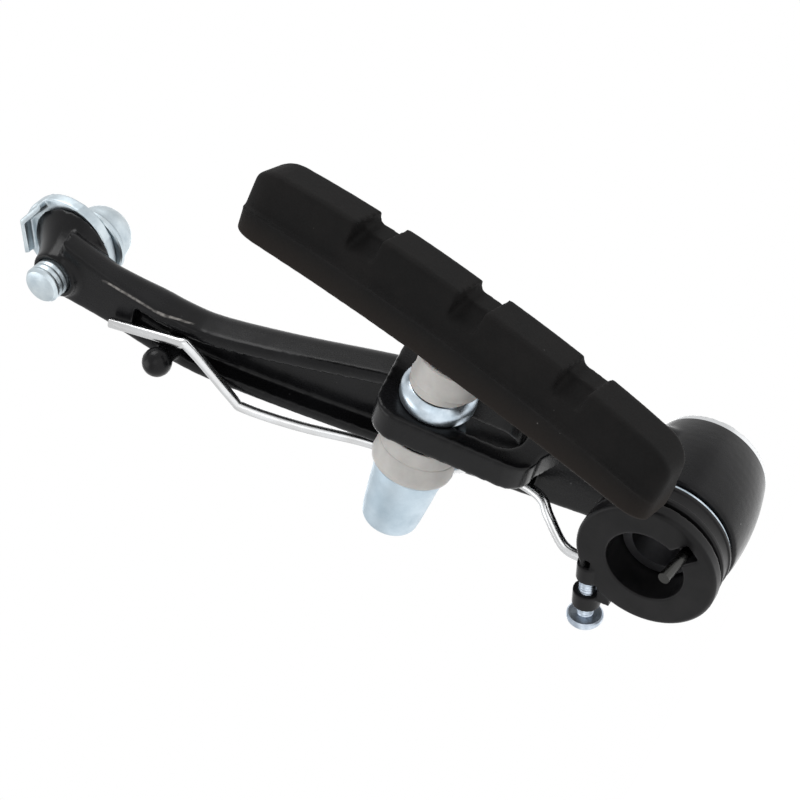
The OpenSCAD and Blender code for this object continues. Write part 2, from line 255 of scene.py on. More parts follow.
def socketed(piece: Piece, across: float, stations: Span, place: Matrix) -> None:
    """Cuts a hexagonal socket.

    Args:
        piece: the piece.
        across: size across the flats in millimetres.
        stations: its two ends along Z in millimetres.
        place: matrix that takes Z to its axis.
    """
    clear_selection()
    bpy.ops.mesh.primitive_cylinder_add(
        vertices=6, radius=across / 2 / math.cos(math.radians(30)) * MM,
        depth=(stations[1] - stations[0]) * MM, location=(0, 0, sum(stations) / 2 * MM))
    bar = bpy.context.active_object
    bar.name = "socket"
    joined(piece, settle(bar, place), cut=True)


def copied(name: str, source: Piece) -> Piece:
    """Takes a merged copy of a CAD node as stock.

    Args:
        name: the copy's name.
        source: the CAD node, which stays as it is.

    Returns:
        The copy, with its loose triangles joined.
    """
    clear_selection()
    piece = bpy.data.objects.new(name, source.data.copy())
    bpy.context.scene.collection.objects.link(piece)
    piece.data.materials.clear()
    pick(piece)
    bpy.ops.object.mode_set(mode="EDIT")
    bpy.ops.mesh.select_all(action="SELECT")
    bpy.ops.mesh.remove_doubles(threshold=0.000002)
    bpy.ops.object.mode_set(mode="OBJECT")
    return piece


def joined(piece: Piece, other: Piece, cut: bool) -> None:
    """Adds another body to a piece, or cuts it out.

    Args:
        piece: the piece that stays.
        other: the body that is used up.
        cut: True to cut it out, False to add it.
    """
    pick(piece)
    tool = piece.modifiers.new("tool", "BOOLEAN")
    tool.operation = "DIFFERENCE" if cut else "UNION"
    tool.solver = "EXACT"
    tool.object = other
    bpy.ops.object.modifier_apply(modifier=tool.name)
    bpy.data.objects.remove(other, do_unlink=True)


def bored(piece: Piece, radius: float, stations: Span, place: Matrix,
          sides: int = SIDES) -> None:
    """Bores a round hole.

    Args:
        piece: the piece.
        radius: the hole's radius in millimetres.
        stations: its two ends along Z in millimetres.
        place: matrix that takes Z to its axis.
        sides: number of sides.
    """
    drill = turned("drill", [(radius, station) for station in stations], place, sides=sides)
    joined(piece, drill, cut=True)


def shaded(piece: Piece, angle: float) -> None:
    """Shades a piece smooth, apart from edges sharper than the angle in degrees."""
    pick(piece)
    bpy.ops.object.shade_smooth_by_angle(angle=math.radians(angle))


def moulded(piece: Piece, grain: float, passes: int) -> None:
    """Gives a piece the even skin and the small fillets of a casting.

    Args:
        piece: a closed piece.
        grain: size of the new faces in millimetres.
        passes: smoothing passes, which set how round its edges become.
    """
    pick(piece)
    skin = piece.modifiers.new("skin", "REMESH")
    skin.mode = "VOXEL"
    skin.voxel_size = grain * MM
    bpy.ops.object.modifier_apply(modifier=skin.name)
    ease = piece.modifiers.new("ease", "SMOOTH")
    ease.factor = 0.5
    ease.iterations = passes
    bpy.ops.object.modifier_apply(modifier=ease.name)
    bpy.ops.object.shade_smooth()


def eased(piece: Piece, width: float, angle: float = 32.0) -> Piece:
    """Breaks a machined piece's sharp edges and shades it.

    Args:
        piece: the piece.
        width: width of the broken edge in millimetres.
        angle: edges sharper than this angle are broken.

    Returns:
        The same piece.
    """
    pick(piece)
    edge = piece.modifiers.new("edge", "BEVEL")
    edge.limit_method = "ANGLE"
    edge.angle_limit = math.radians(angle)
    edge.width = width * MM
    edge.segments = 2
    bpy.ops.object.modifier_apply(modifier=edge.name)
    shaded(piece, angle)
    return piece


class NodeTree:
    """Nodes of the world or of a finish."""

    def __init__(self, owner: bpy.types.World | Material) -> None:
        """Starts the owner's node tree."""
        owner.use_nodes = True
        self.tree = owner.node_tree

    def node(self, kind: str, settings: dict[str, object] | None = None,
             inputs: dict[int | str, object] | None = None) -> bpy.types.Node:
        """Adds a node.

        Args:
            kind: the node's type.
            settings: properties to set on it.
            inputs: values or sockets for its inputs.

        Returns:
            The new node.
        """
        made = self.tree.nodes.new(kind)
        for key, value in (settings or {}).items():
            setattr(made, key, value)
        for key, value in (inputs or {}).items():
            self.feed(made.inputs[key], value)
        return made

    def feed(self, socket: Socket, value: object) -> None:
        """Links a socket to an output, or sets its value."""
        if isinstance(value, Socket):
            self.tree.links.new(value, socket)
        else:
            socket.default_value = value

    def span(self, value: Socket, low: float, high: float, to_low: float = 0,
             to_high: float = 1) -> Socket:
        """Maps a span of values onto another, held at its ends."""
        made = self.node("ShaderNodeMapRange", {"clamp": True}, {
            "Value": value, "From Min": low, "From Max": high, "To Min": to_low, "To Max": to_high})
        return made.outputs["Result"]

    def maths(self, operation: str, first: object, second: object = 0) -> Socket:
        """Joins two values with one operation, or changes one."""
        return self.node("ShaderNodeMath", {"operation": operation}, {0: first, 1: second}).outputs[0]

    def seen(self) -> Socket:
        """Gives 1 to the camera, in reflections and through clear pieces, and 0 to other light."""
        path = self.node("ShaderNodeLightPath").outputs
        return self.maths("MAXIMUM", path["Is Camera Ray"], self.maths(
            "MAXIMUM", path["Is Glossy Ray"], path["Is Transmission Ray"]))


class Recipe(NodeTree):
    """The node tree of one finish."""

    def __init__(self, name: str) -> None:
        """Starts a material with its shader and the piece's own coordinates."""
        self.material = bpy.data.materials.new(name)
        super().__init__(self.material)
        self.shader = self.tree.nodes["Principled BSDF"]
        self.coords = self.node("ShaderNodeTexCoord").outputs["Object"]

    def noise(self, size: float, detail: float = 4.0, roughness: float = 0.55,
              vector: Socket | None = None) -> Socket:
        """Adds a noise pattern.

        Args:
            size: rough size of its patches in millimetres.
            detail: number of finer layers.
            roughness: strength of the finer layers.
            vector: coordinates, the piece's own where none are given.

        Returns:
            The pattern's value.
        """
        made = self.node("ShaderNodeTexNoise", {}, {
            "Vector": vector or self.coords, "Scale": 1 / (size * MM), "Detail": detail,
            "Roughness": roughness})
        return made.outputs["Fac"]

    def fade(self, value: Socket, low: float, high: float,
             rising: bool = True) -> Socket:
        """Fades from 0 to 1 over a span of millimetres, or from 1 to 0 where it isn't rising."""
        return self.span(value, low * MM, high * MM, *((0, 1) if rising else (1, 0)))

    def times(self, first: object, second: object) -> Socket:
        """Multiplies two values."""
        return self.maths("MULTIPLY", first, second)

    def plus(self, first: object, second: object) -> Socket:
        """Adds two values."""
        return self.maths("ADD", first, second)

    def part(self, axis: str) -> Socket:
        """Takes one of the piece's coordinates, in metres."""
        return self.node("ShaderNodeSeparateXYZ", {}, {0: self.coords}).outputs[axis]

    def along(self, direction: Point) -> Socket:
        """Measures the piece's coordinates along a direction, in metres."""
        return self.node("ShaderNodeVectorMath", {"operation": "DOT_PRODUCT"}, {
            0: self.coords, 1: direction}).outputs["Value"]

    def specks(self, spacing: float, inner: float, outer: float) -> Socket:
        """Scatters small specks.

        Args:
            spacing: rough distance between them in millimetres.
            inner, outer: where each speck's edge starts and ends, as shares of the spacing.

        Returns:
            1 in a speck and 0 outside.
        """
        cells = self.node("ShaderNodeTexVoronoi", {}, {
            "Vector": self.coords, "Scale": 1 / (spacing * MM)})
        return self.span(cells.outputs["Distance"], inner, outer, 1, 0)

    def mix(self, share: object, first: object, second: object) -> Socket:
        """Mixes two colours.

        Args:
            share: share of the second colour.
            first, second: colours or colour outputs.

        Returns:
            The mixed colour.
        """
        made = self.node("ShaderNodeMix", {"data_type": "RGBA"})
        self.feed(made.inputs[0], share)
        for socket, colour in ((made.inputs[6], first), (made.inputs[7], second)):
            self.feed(socket, (*colour, 1.0) if isinstance(colour, tuple) else colour)
        return made.outputs[2]

    def bump(self, heights: Sequence[tuple[Socket, float]]) -> None:
        """Feeds the shader's normal from stacked heights.

        Args:
            heights: (height, depth in millimetres) from coarse to fine.
        """
        normal = None
        for height, depth in heights:
            made = self.node("ShaderNodeBump", {}, {
                "Height": height, "Distance": depth * MM, "Strength": 1.0})
            if normal:
                self.feed(made.inputs["Normal"], normal)
            normal = made.outputs["Normal"]
        self.feed(self.shader.inputs["Normal"], normal)

    def set(self, **values: object) -> None:
        """Sets the shader's inputs; an underscore stands for a space."""
        for key, value in values.items():
            value = (*value, 1.0) if isinstance(value, tuple) and len(value) == 3 else value
            self.feed(self.shader.inputs[key.replace("_", " ")], value)


@dataclass(frozen=True)
class HighlightAndWearLine:
    """Line along the beam's upper corner: a painted highlight where the corner catches the light, with
    some paint worn through.

    The two bends hold a span along the leaning beam and the line's place at its ends.
    """

    bend_x: tuple[float, float, float, float] = (70.0, 92.0, -9.13, -4.33)
    bend_y: tuple[float, float, float, float] = (77.5, 84.0, 3.9, 2.62)
    least_x: float = -6.5
    fade_in: Span = (77.5, 79.0)
    fade_out: Span = (91.5, 93.0)
    edge: Span = (0.12, 0.3)
    patch: float = 0.8
    strength: Span = (0.25, 0.75)

    def share(self, r: Recipe) -> Socket:
        """Marks the line.

        Args:
            r: the paint's recipe.

        Returns:
            The share of painted highlight and worn paint, from 0 to 1.
        """
        lean = math.radians(BrakeFrame().arm_lean)
        across = r.along((0, math.cos(lean), math.sin(lean)))
        along = r.along((0, -math.sin(lean), math.cos(lean)))
        line_x = r.maths("MAXIMUM", r.span(along, *(v * MM for v in self.bend_x)), self.least_x * MM)
        line_y = r.span(along, *(v * MM for v in self.bend_y))
        off_x = r.maths("SUBTRACT", r.part("X"), line_x)
        off_y = r.maths("SUBTRACT", across, line_y)
        off = r.maths("SQRT", r.plus(r.times(off_x, off_x), r.times(off_y, off_y)))
        line = r.times(r.fade(off, *self.edge, rising=False),
                       r.span(r.noise(self.patch, 4), 0.42, 0.55, *self.strength))
        ends = r.times(r.fade(along, *self.fade_in), r.fade(along, *self.fade_out, rising=False))
        return r.times(line, ends)


@dataclass(frozen=True)
class GlossPaint:
    """Black gloss paint on a cast arm, bare and turned at the barrel's mouth."""

    colour: Colour = (0.004, 0.004, 0.0045)
    thin: Colour = (0.009, 0.009, 0.01)
    bare: Colour = (0.6, 0.61, 0.62)
    dust: Colour = (0.35, 0.35, 0.35)
    # colour of the painted highlight line along the corner, partly worn paint
    highlight_and_rubbed: Colour = (0.42, 0.4, 0.38)
    specular: float = 0.16
    band_from: float = 11.3
    band_soft: float = 0.03
    ring_pitch: float = 0.16
    # painted highlight line along the beam's upper corner, partly worn paint
    highlight_and_wear: HighlightAndWearLine = HighlightAndWearLine()

    def build(self) -> Material:
        """Makes the material."""
        r = Recipe("gloss_black_paint")
        station = r.part("Y")
        band = r.fade(station, self.band_from - self.band_soft, self.band_from + self.band_soft)
        flow, peel, grit = r.noise(9, 3), r.noise(1.1, 2), r.noise(0.35, 5, 0.7)
        paint = r.mix(r.span(flow, 0.35, 0.7), self.colour, self.thin)
        dust = r.times(r.specks(3.1, 0.03, 0.06), r.span(flow, 0.5, 0.6, 0, 0.5))
        paint = r.mix(dust, paint, self.dust)
        # painted highlight along the beam's upper corner, partly paint worn through, mixed into the
        # colour
        paint = r.mix(self.highlight_and_wear.share(r), paint, self.highlight_and_rubbed)
        flat = r.node("ShaderNodeVectorMath", {"operation": "MULTIPLY"}, {0: r.coords, 1: (1, 0, 1)})
        radius = r.node("ShaderNodeVectorMath", {"operation": "LENGTH"}, {0: flat.outputs[0]})
        turns = r.times(r.plus(radius.outputs["Value"], station), 2 * math.pi / (self.ring_pitch * MM))
        r.set(Base_Color=r.mix(band, paint, self.bare), Metallic=band,
              Roughness=r.plus(r.span(flow, 0.3, 0.7, 0.2, 0.28), r.span(grit, 0.4, 0.8, 0, 0.06)),
              Specular_IOR_Level=self.specular)
        r.bump([(flow, 0.06), (peel, 0.018), (r.times(r.maths("SINE", turns), band), 0.004)])
        return r.material


@dataclass(frozen=True)
class ZincPlate:
    """Bluish zinc plate with its cloudy tone and fine tool marks."""

    name: str
    colour: Colour = (0.52, 0.58, 0.61)
    cloud: Colour = (0.37, 0.43, 0.47)
    roughness: float = 0.3
    patch: float = 3.0
    dulling: float = 0.16

    def build(self) -> Material:
        """Makes the material."""
        r = Recipe(self.name)
        clouds, grain = r.noise(self.patch, 5, 0.6), r.noise(0.3, 4, 0.65)
        r.set(Base_Color=r.mix(r.span(clouds, 0.35, 0.7), self.colour, self.cloud), Metallic=1.0,
              Roughness=r.plus(
                  r.span(clouds, 0.3, 0.75, self.roughness, self.roughness + self.dulling),
                  r.span(grain, 0.4, 0.8, 0, 0.1)))
        r.bump([(clouds, 0.02), (grain, 0.008)])
        return r.material


@dataclass(frozen=True)
class DrawnWire:
    """Bright drawn wire with faint lengthwise marks, with painted shade on its pin where it sits in the
    ring's notch.
    """

    colour: Colour = (0.6, 0.61, 0.62)
    dull: Colour = (0.52, 0.52, 0.52)
    # painted shade colour for the pin
    pin_shade_colour: Colour = (0.05, 0.05, 0.048)
    pin_y: Span = (-9.9, -9.4)
    pin_z: Span = (10.0, 12.0)
    stretch: float = 0.08

    def build(self) -> Material:
        """Makes the material."""
        r = Recipe("drawn_wire")
        drawn = r.node("ShaderNodeMapping", {}, {"Vector": r.coords, "Scale": (1, 1, self.stretch)})
        marks = r.noise(0.25, 4, 0.6, drawn.outputs[0])
        bright = r.mix(r.span(r.noise(4, 3), 0.4, 0.75), self.colour, self.dull)
        # painted shade: darkens the wire's colour over the pin
        pin = r.times(r.fade(r.part("Y"), *self.pin_y, rising=False),
                      r.fade(r.part("Z"), *self.pin_z, rising=False))
        r.set(Base_Color=r.mix(pin, bright, self.pin_shade_colour), Metallic=1.0,
              Roughness=r.span(marks, 0.3, 0.7, 0.17, 0.32))
        r.bump([(marks, 0.006)])
        return r.material


@dataclass(frozen=True)
class PaleNylon:
    """Pale grey nylon with a faint cloudiness."""

    colour: Colour = (0.6, 0.585, 0.56)
    cloud: Colour = (0.5, 0.485, 0.465)
    depth: float = 1.0

    def build(self) -> Material:
        """Makes the material."""
        r = Recipe("pale_nylon")
        clouds, grain = r.noise(2.5, 4), r.noise(0.25, 4, 0.7)
        r.set(Base_Color=r.mix(r.span(clouds, 0.35, 0.75), self.colour, self.cloud),
              Roughness=r.span(grain, 0.3, 0.7, 0.4, 0.52),
              Subsurface_Weight=0.12, Subsurface_Scale=self.depth * MM)
        r.bump([(clouds, 0.015), (grain, 0.006)])
        return r.material


@dataclass(frozen=True)
class SatinPlastic:
    """Satin black moulded plastic."""

    colour: Colour = (0.006, 0.006, 0.0065)
    cloud: Colour = (0.012, 0.0115, 0.012)
    specular: float = 0.14

    def build(self) -> Material:
        """Makes the material."""
        r = Recipe("satin_black_plastic")
        clouds, grain = r.noise(4, 3), r.noise(0.18, 5, 0.7)
        r.set(Base_Color=r.mix(r.span(clouds, 0.35, 0.7), self.colour, self.cloud),
              Specular_IOR_Level=self.specular,
              Roughness=r.plus(r.span(clouds, 0.3, 0.7, 0.32, 0.42), r.span(grain, 0.4, 0.8, 0, 0.1)))
        r.bump([(clouds, 0.03), (grain, 0.008)])
        return r.material


@dataclass(frozen=True)
class PadRubber:
    """Matt black rubber with a dusty bloom, brown at the base, and stray lint."""

    colour: Colour = (0.005, 0.0048, 0.0048)
    bloom: Colour = (0.012, 0.0112, 0.011)
    brown: Colour = (0.022, 0.017, 0.014)
    lint: Colour = (0.4, 0.39, 0.38)
    brown_to: Span = (9.0, 14.0)
    specular: float = 0.1

    def build(self) -> Material:
        """Makes the material."""
        r = Recipe("pad_rubber")
        bloom, grain, pores = r.noise(7, 6, 0.65), r.noise(0.22, 6, 0.75), r.noise(0.9, 5, 0.6)
        base = r.mix(r.span(bloom, 0.42, 0.72), self.colour, self.bloom)
        toe = math.radians(BrakeFrame().pad_toe)
        post = Vector((math.cos(toe), math.sin(toe), 0))
        start, end = (BrakeFrame().pivot_point.dot(post) + height for height in self.brown_to)
        base = r.mix(r.span(r.along(tuple(post)), start * MM, end * MM, 0.8, 0), base, self.brown)
        lint = r.times(r.specks(2.6, 0.02, 0.05), r.span(bloom, 0.52, 0.6, 0, 0.3))
        r.set(Base_Color=r.mix(lint, base, self.lint), Specular_IOR_Level=self.specular,
              Roughness=r.plus(r.span(bloom, 0.3, 0.7, 0.6, 0.74), r.span(grain, 0.4, 0.7, 0, 0.1)))
        r.bump([(pores, 0.035), (grain, 0.02)])
        return r.material


@dataclass(frozen=True)
class DarkSteel:
    """Dark steel of the sleeve; its dark colour partly stands in as painted shade for the deep bore."""

    colour: Colour = (0.16, 0.16, 0.17)
    film: Colour = (0.08, 0.08, 0.085)

    def build(self) -> Material:
        """Makes the material."""
        r = Recipe("dark_steel")
        film = r.noise(3, 4)
        r.set(Base_Color=r.mix(film, self.colour, self.film), Metallic=1.0,
              Roughness=r.span(film, 0.3, 0.7, 0.35, 0.5))
        r.bump([(r.noise(0.3, 4, 0.6), 0.006)])
        return r.material


def make_finishes() -> dict[Slot, Material]:
    """Makes the brake's finishes, one for each slot of the record."""
    recipes = {
        Slot.ARM_BLACK: GlossPaint(),
        Slot.BOLT_ZINC: ZincPlate("zinc_bolt"),
        Slot.NUT_ZINC: ZincPlate("zinc_nut", (0.46, 0.54, 0.6), (0.36, 0.44, 0.5), 0.38, 5.0),
        Slot.SCREW_ZINC: ZincPlate("zinc_screw", (0.5, 0.56, 0.63), (0.32, 0.37, 0.44), 0.26, 1.5),
        Slot.WASHER_STEEL: ZincPlate(
            "zinc_washer", (0.55, 0.62, 0.68), (0.36, 0.43, 0.49), 0.24, 2.0),
        Slot.SPRING_WIRE: DrawnWire(),
        Slot.CUP_NYLON: PaleNylon(),
        Slot.RING_PLASTIC: SatinPlastic(),
        Slot.PAD_RUBBER: PadRubber(),
        Slot.SLEEVE_STEEL: DarkSteel(),
    }
    return {slot: recipe.build() for slot, recipe in recipes.items()}


@dataclass
class SubAssembly:
    """What all sub-assemblies share: the CAD nodes, the sizes and the finishes."""

    nodes: dict[str, Piece]
    sizes: BrakeFrame
    finishes: dict[Slot, Material]

    def dress(self, piece: Piece, body: Body | None, slot: Slot, node: str) -> None:
        """Finishes a piece, puts it on its moving body and hides the CAD node that it stands for.

        Args:
            piece: the modelled piece.
            body: the moving body that it rides on, None where it bends between two.
            slot: the record's material slot.
            node: the CAD node that it stands for.
        """
        piece.data.materials.clear()
        piece.data.materials.append(self.finishes[slot])
        if body:
            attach(piece, body.value)
        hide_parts(node)
        LOG.info("%s: %d faces", piece.name, len(piece.data.polygons))

    def repaint(self, node: str, slot: Slot) -> None:
        """Gives a CAD node that stays the finish of its slot."""
        for held in self.nodes[node].material_slots:
            held.material = self.finishes[slot]


@dataclass
class ArmCasting(SubAssembly):
    """The leaning arm: barrel, channelled beam, pad lug, cable boss and spring stub."""

    sleeve_bore: float = 5.55
    bolt_bore: float = 3.05
    grain: float = 0.36
    passes: int = 7

    def build(self) -> None:
        """Casts the arm, then bores its barrel and its boss right through."""
        piece = copied("arm_casting", self.nodes["arm"])
        moulded(piece, self.grain, self.passes)
        sizes = self.sizes
        for radius, (back, front), past, place in (
                (self.sleeve_bore, sizes.barrel_y, 2, Turning.ALONG_Y.value),
                (self.bolt_bore, sizes.boss_y, 3, sizes.bolt_axis())):
            bored(piece, radius, (back - past, front + past), place, FINE_SIDES)
        shaded(piece, 50)
        self.dress(piece, Body.ARM, Slot.ARM_BLACK, "arm")


@dataclass
class SpringUnit(SubAssembly):
    """Spring holder with its ear, cover, washer, spring, tension screw and sleeve."""

    cover_y: Span = (-8.6, -5.25)
    washer_y: Span = (-5.2, -4.5)
    hub_y: Span = (-10.2, -5.4)
    hub_wall: float = 0.75
    ring_r: float = 10.6
    bore: float = 5.84
    holder_grain: float = 0.16
    holder_passes: int = 4
    window_x: Span = (-13.0, -5.5)
    window_z: Span = (-5.5, 12.5)
    window_lip: float = 0.55
    ear: Point = (-11.9, -10.4, 5.8)
    ear_tilt: float = 14.0
    thread: Span = (2.3, -4.4)
    thread_root: float = 1.12
    thread_crest: float = 1.3
    thread_pitch: float = 0.5
    head: Profile = (
        (1.25, -4.7), (2.5, -4.9), (2.75, -5.1), (2.8, -5.35), (2.72, -5.8), (2.45, -6.2),
        (1.9, -6.5), (1.2, -6.6))
    recess: Point = (0.35, 1.7, -5.8)
    coil_r: float = 7.75
    wire_d: float = 1.7
    pin_angle: float = -34.5
    coil_sweep: float = 505.5
    coil_start: float = -8.6
    coil_gap: float = 0.06
    coil_steps: int = 44
    bend_steps: int = 6
    pin_tip: Point = (6.4, -17.6, -3.4)
    leg: tuple[Point, ...] = (
        (-8.6, -6.9, 4.6), (-10.2, -6.9, 8.4), (-10.8, -6.5, 12.0), (-8.6, -4.9, 16.2),
        (-7.5, -3.3, 19.0), (-8.4, -2.3, 25.0), (-9.1, -2.9, 29.0), (-10.5, -4.05, 31.8),
        (-12.7, -4.5, 34.8), (-14.9, -3.9, 39.0), (-15.6, -4.3, 46.2), (-17.2, -7.3, 57.0),
        (-17.1, -10.0, 65.5), (-15.9, -10.5, 68.0), (-9.3, -12.0, 75.8), (-9.0, -12.6, 78.5),
        (-10.8, -14.4, 89.0))

    def build(self) -> None:
        """Builds the unit, piece by piece."""
        self.holder()
        self.cover()
        self.washer()
        self.spring()
        self.screw()
        self.repaint("pivot_sleeve", Slot.SLEEVE_STEEL)

    def on_ear(self) -> Matrix:
        """Frame of the tension screw: X from its head to the ring."""
        return self.sizes.at(*self.ear) @ Matrix.Rotation(math.radians(-self.ear_tilt), 4, "Y")

    def holder(self) -> None:
        """Moulds the ring, its ear and the hub in the coil in one, with soft edges."""
        piece = copied("spring_holder_ring", self.nodes["spring_holder"])
        back, front = self.hub_y
        outer = self.bore + self.hub_wall
        hub = turned("hub", [(self.bore, back), (self.bore, front), (outer, front), (outer, back)],
                     Turning.ALONG_Y.value, ring=True)
        joined(piece, hub, cut=False)
        moulded(piece, self.holder_grain, self.holder_passes)
        self.dress(piece, Body.POST_UNIT, Slot.RING_PLASTIC, "spring_holder")

    def cover(self) -> None:
        """Turns the outer ring, with a bead at each edge and a window for the spring's leg."""
        back, front = self.cover_y
        outer, inner = self.ring_r - 0.2, self.coil_r + self.wire_d / 2 + 0.2
        piece = turned("spring_cover_ring", [
            (inner, back), (outer - 0.25, back), (outer, back + 0.25), (outer, back + 0.8),
            (outer - 0.2, back + 1.0), (outer - 0.2, front - 0.7), (outer, front - 0.5),
            (outer, front), (inner, front)], Turning.ALONG_Y.value, ring=True)
        (left, right), (low, high) = self.window_x, self.window_z
        window = block("window", (left, back - 1, low), (right, front - self.window_lip, high),
                       Matrix.Identity(4))
        joined(piece, window, cut=True)
        eased(piece, 0.08)
        self.dress(piece, Body.POST_UNIT, Slot.RING_PLASTIC, "spring_cover")

    def washer(self) -> None:
        """Turns the thin bright washer."""
        back, front = self.washer_y
        outer, inner = self.ring_r - 0.5, 5.8
        piece = turned("bright_pivot_washer", [
            (inner, back + 0.1), (inner + 0.1, back), (outer - 0.15, back), (outer, back + 0.15),
            (outer, front - 0.15), (outer - 0.15, front), (inner + 0.1, front), (inner, front - 0.1)],
            Turning.ALONG_Y.value, ring=True, sides=FINE_SIDES)
        eased(piece, 0.04)
        self.dress(piece, Body.POST_UNIT, Slot.WASHER_STEEL, "pivot_washer")

    def route(self) -> list[Vector]:
        """Route of the spring's wire: pin, coil and the long leg to the stub.

        Returns:
            Points in millimetres, one for about 12 degrees of coil and closer in the leg.
        """
        angle = math.radians(self.pin_angle)
        root = Vector((self.coil_r * math.cos(angle), 0, self.coil_r * math.sin(angle)))
        tip = Vector(self.pin_tip)
        foot = root + Vector((0, self.coil_start - 0.9, 0))
        points = [tip.lerp(foot, k / self.bend_steps) for k in range(self.bend_steps + 1)]
        rise = (self.wire_d + self.coil_gap) * self.coil_sweep / 360
        steps = self.coil_steps
        for k in range(1, steps + 1):
            turn = angle - math.radians(self.coil_sweep) * k / steps
            ease = -0.35 if k == 1 else 0.0
            points.append(Vector((
                self.coil_r * math.cos(turn), self.coil_start + ease + rise * k / steps,
                self.coil_r * math.sin(turn))))
        rows = [points[-2], points[-1], *[Vector(p) for p in self.leg], Vector(self.leg[-1])]
        for i in range(1, len(rows) - 2):
            a, b, c, d = rows[i - 1:i + 3]
            for k in range(1, self.bend_steps + 1):
                t = k / self.bend_steps
                points.append(0.5 * (2 * b + (c - a) * t + (2 * a - 5 * b + 4 * c - d) * t ** 2
                                     + (3 * b - a - 3 * c + d) * t ** 3))
        return points

    def spring(self) -> None:
        """Bends the wire, which is put on no moving body; on the brake its coil winds up as the arm
        turns, and its leg goes with the arm.
        """
        points = self.route()
        clear_selection()
        bpy.ops.curve.primitive_nurbs_path_add()
        wire = bpy.context.active_object
        wire.name = "bent_return_spring"
        curve = wire.data
        curve.splines.clear()
        line = curve.splines.new("POLY")
        line.points.add(len(points) - 1)
        for point, place in zip(line.points, points):
            point.co = (*(place * MM), 1.0)
        curve.dimensions = "3D"
        curve.bevel_depth = self.wire_d / 2 * MM
        curve.bevel_resolution = 4
        curve.use_fill_caps = True
        pick(wire)
        bpy.ops.object.convert(target="MESH")
        wire = bpy.context.active_object
        bpy.ops.object.mode_set(mode="EDIT")
        bpy.ops.mesh.select_all(action="SELECT")
        bpy.ops.mesh.remove_doubles(threshold=0.00001)
        bpy.ops.mesh.normals_make_consistent(inside=False)
        shaded(wire, 60)
        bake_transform(wire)
        self.dress(wire, None, Slot.SPRING_WIRE, "return_spring")

    def screw(self) -> None:
        """Turns the tension screw with its thread and crossed head."""
        bar = self.on_ear() @ Turning.ALONG_X.value
        root, crest = self.thread_root, self.thread_crest
        station, last = self.thread
        thread = [(root, station + 0.3)]
        while station > last:
            thread += [(crest, station), (crest, station - 0.1), (root, station - 0.25),
                       (root, station - 0.3)]
            station -= self.thread_pitch
        piece = turned("tension_screw_m3", [*thread, *self.head], bar, sides=48)
        wide, long, floor = self.recess
        for y, z in ((wide, long), (long, wide)):
            cross = block("recess", (-7, -y, -z), (floor, y, z), self.on_ear())
            joined(piece, cross, cut=True)
        shaded(piece, 28)
        self.dress(piece, Body.TENSION_SCREW, Slot.SCREW_ZINC, "tension_screw")


@dataclass
class CableClamp(SubAssembly):
    """Domed clamp bolt and the folded plate under its head."""

    bolt_end: float = -18.9
    bolt_tip: Profile = ((1.2, 0.0), (2.1, 0.1), (2.6, 0.28), (2.85, 0.6))
    thread: Span = (0.8, -14.6)
    thread_root: float = 2.85
    thread_pitch: float = 1.0
    neck: float = -13.5
    seat: float = -5.6
    shank: float = 2.97
    flange: Profile = (
        (2.97, 0.0), (5.45, 0.0), (5.7, 0.2), (5.7, 0.8), (5.3, 1.2), (5.0, 1.5), (4.88, 1.9))
    head_h: float = 6.5
    dome: float = 4.85
    dome_round: float = 3.9
    socket: float = 5.0
    socket_depth: float = 3.0
    disc_r: float = 8.1
    disc_off: Span = (-1.0, 3.2)
    disc_y: Span = (-2.05, -0.05)
    disc_bore: float = 3.2
    plate_grain: float = 0.15
    plate_passes: int = 9

    def build(self) -> None:
        """Builds the bolt and the plate."""
        self.bolt()
        self.plate()

    def bolt(self) -> None:
        """Turns the bolt with its thread, flange and domed socket head."""
        tip = self.seat + self.head_h
        place = self.sizes.bolt_axis()
        thread = [(radius, self.bolt_end + rise) for radius, rise in self.bolt_tip]
        station, last = self.bolt_end + self.thread[0], self.thread[1]
        while station < last:
            thread += [(self.shank, station), (self.shank, station + 0.3),
                       (self.thread_root, station + 0.52), (self.thread_root, station + 0.62)]
            station += self.thread_pitch
        arc, middle = self.dome_round, tip - self.dome_round
        turns = [math.radians(angle) for angle in range(0, 91, 9)]
        dome = [(self.dome - arc + arc * math.cos(t), middle + arc * math.sin(t)) for t in turns]
        piece = turned("domed_anchor_bolt", [
            *thread, (self.shank, self.neck),
            *((radius, self.seat + rise) for radius, rise in self.flange), *dome], place)
        socketed(piece, self.socket, (tip - self.socket_depth, tip + 1), place)
        shaded(piece, 30)
        self.dress(piece, Body.ANCHOR_BOLT, Slot.BOLT_ZINC, "anchor_bolt")

    def plate(self) -> None:
        """Presses the plate, with the soft edges of stamped steel."""
        piece = copied("folded_clamp_plate", self.nodes["clamp_washer"])
        (x, z), (right, rise) = self.sizes.boss, self.disc_off
        disc = turned("disc", [(self.disc_r, self.seat + y) for y in self.disc_y],
                      self.sizes.at(x + right, 0, z + rise) @ Turning.ALONG_Y.value)
        bored(disc, self.disc_bore, (self.seat - 3, self.seat + 1), self.sizes.bolt_axis())
        joined(piece, disc, cut=False)
        moulded(piece, self.plate_grain, self.plate_passes)
        self.dress(piece, Body.CLAMP_WASHER, Slot.BOLT_ZINC, "clamp_washer")


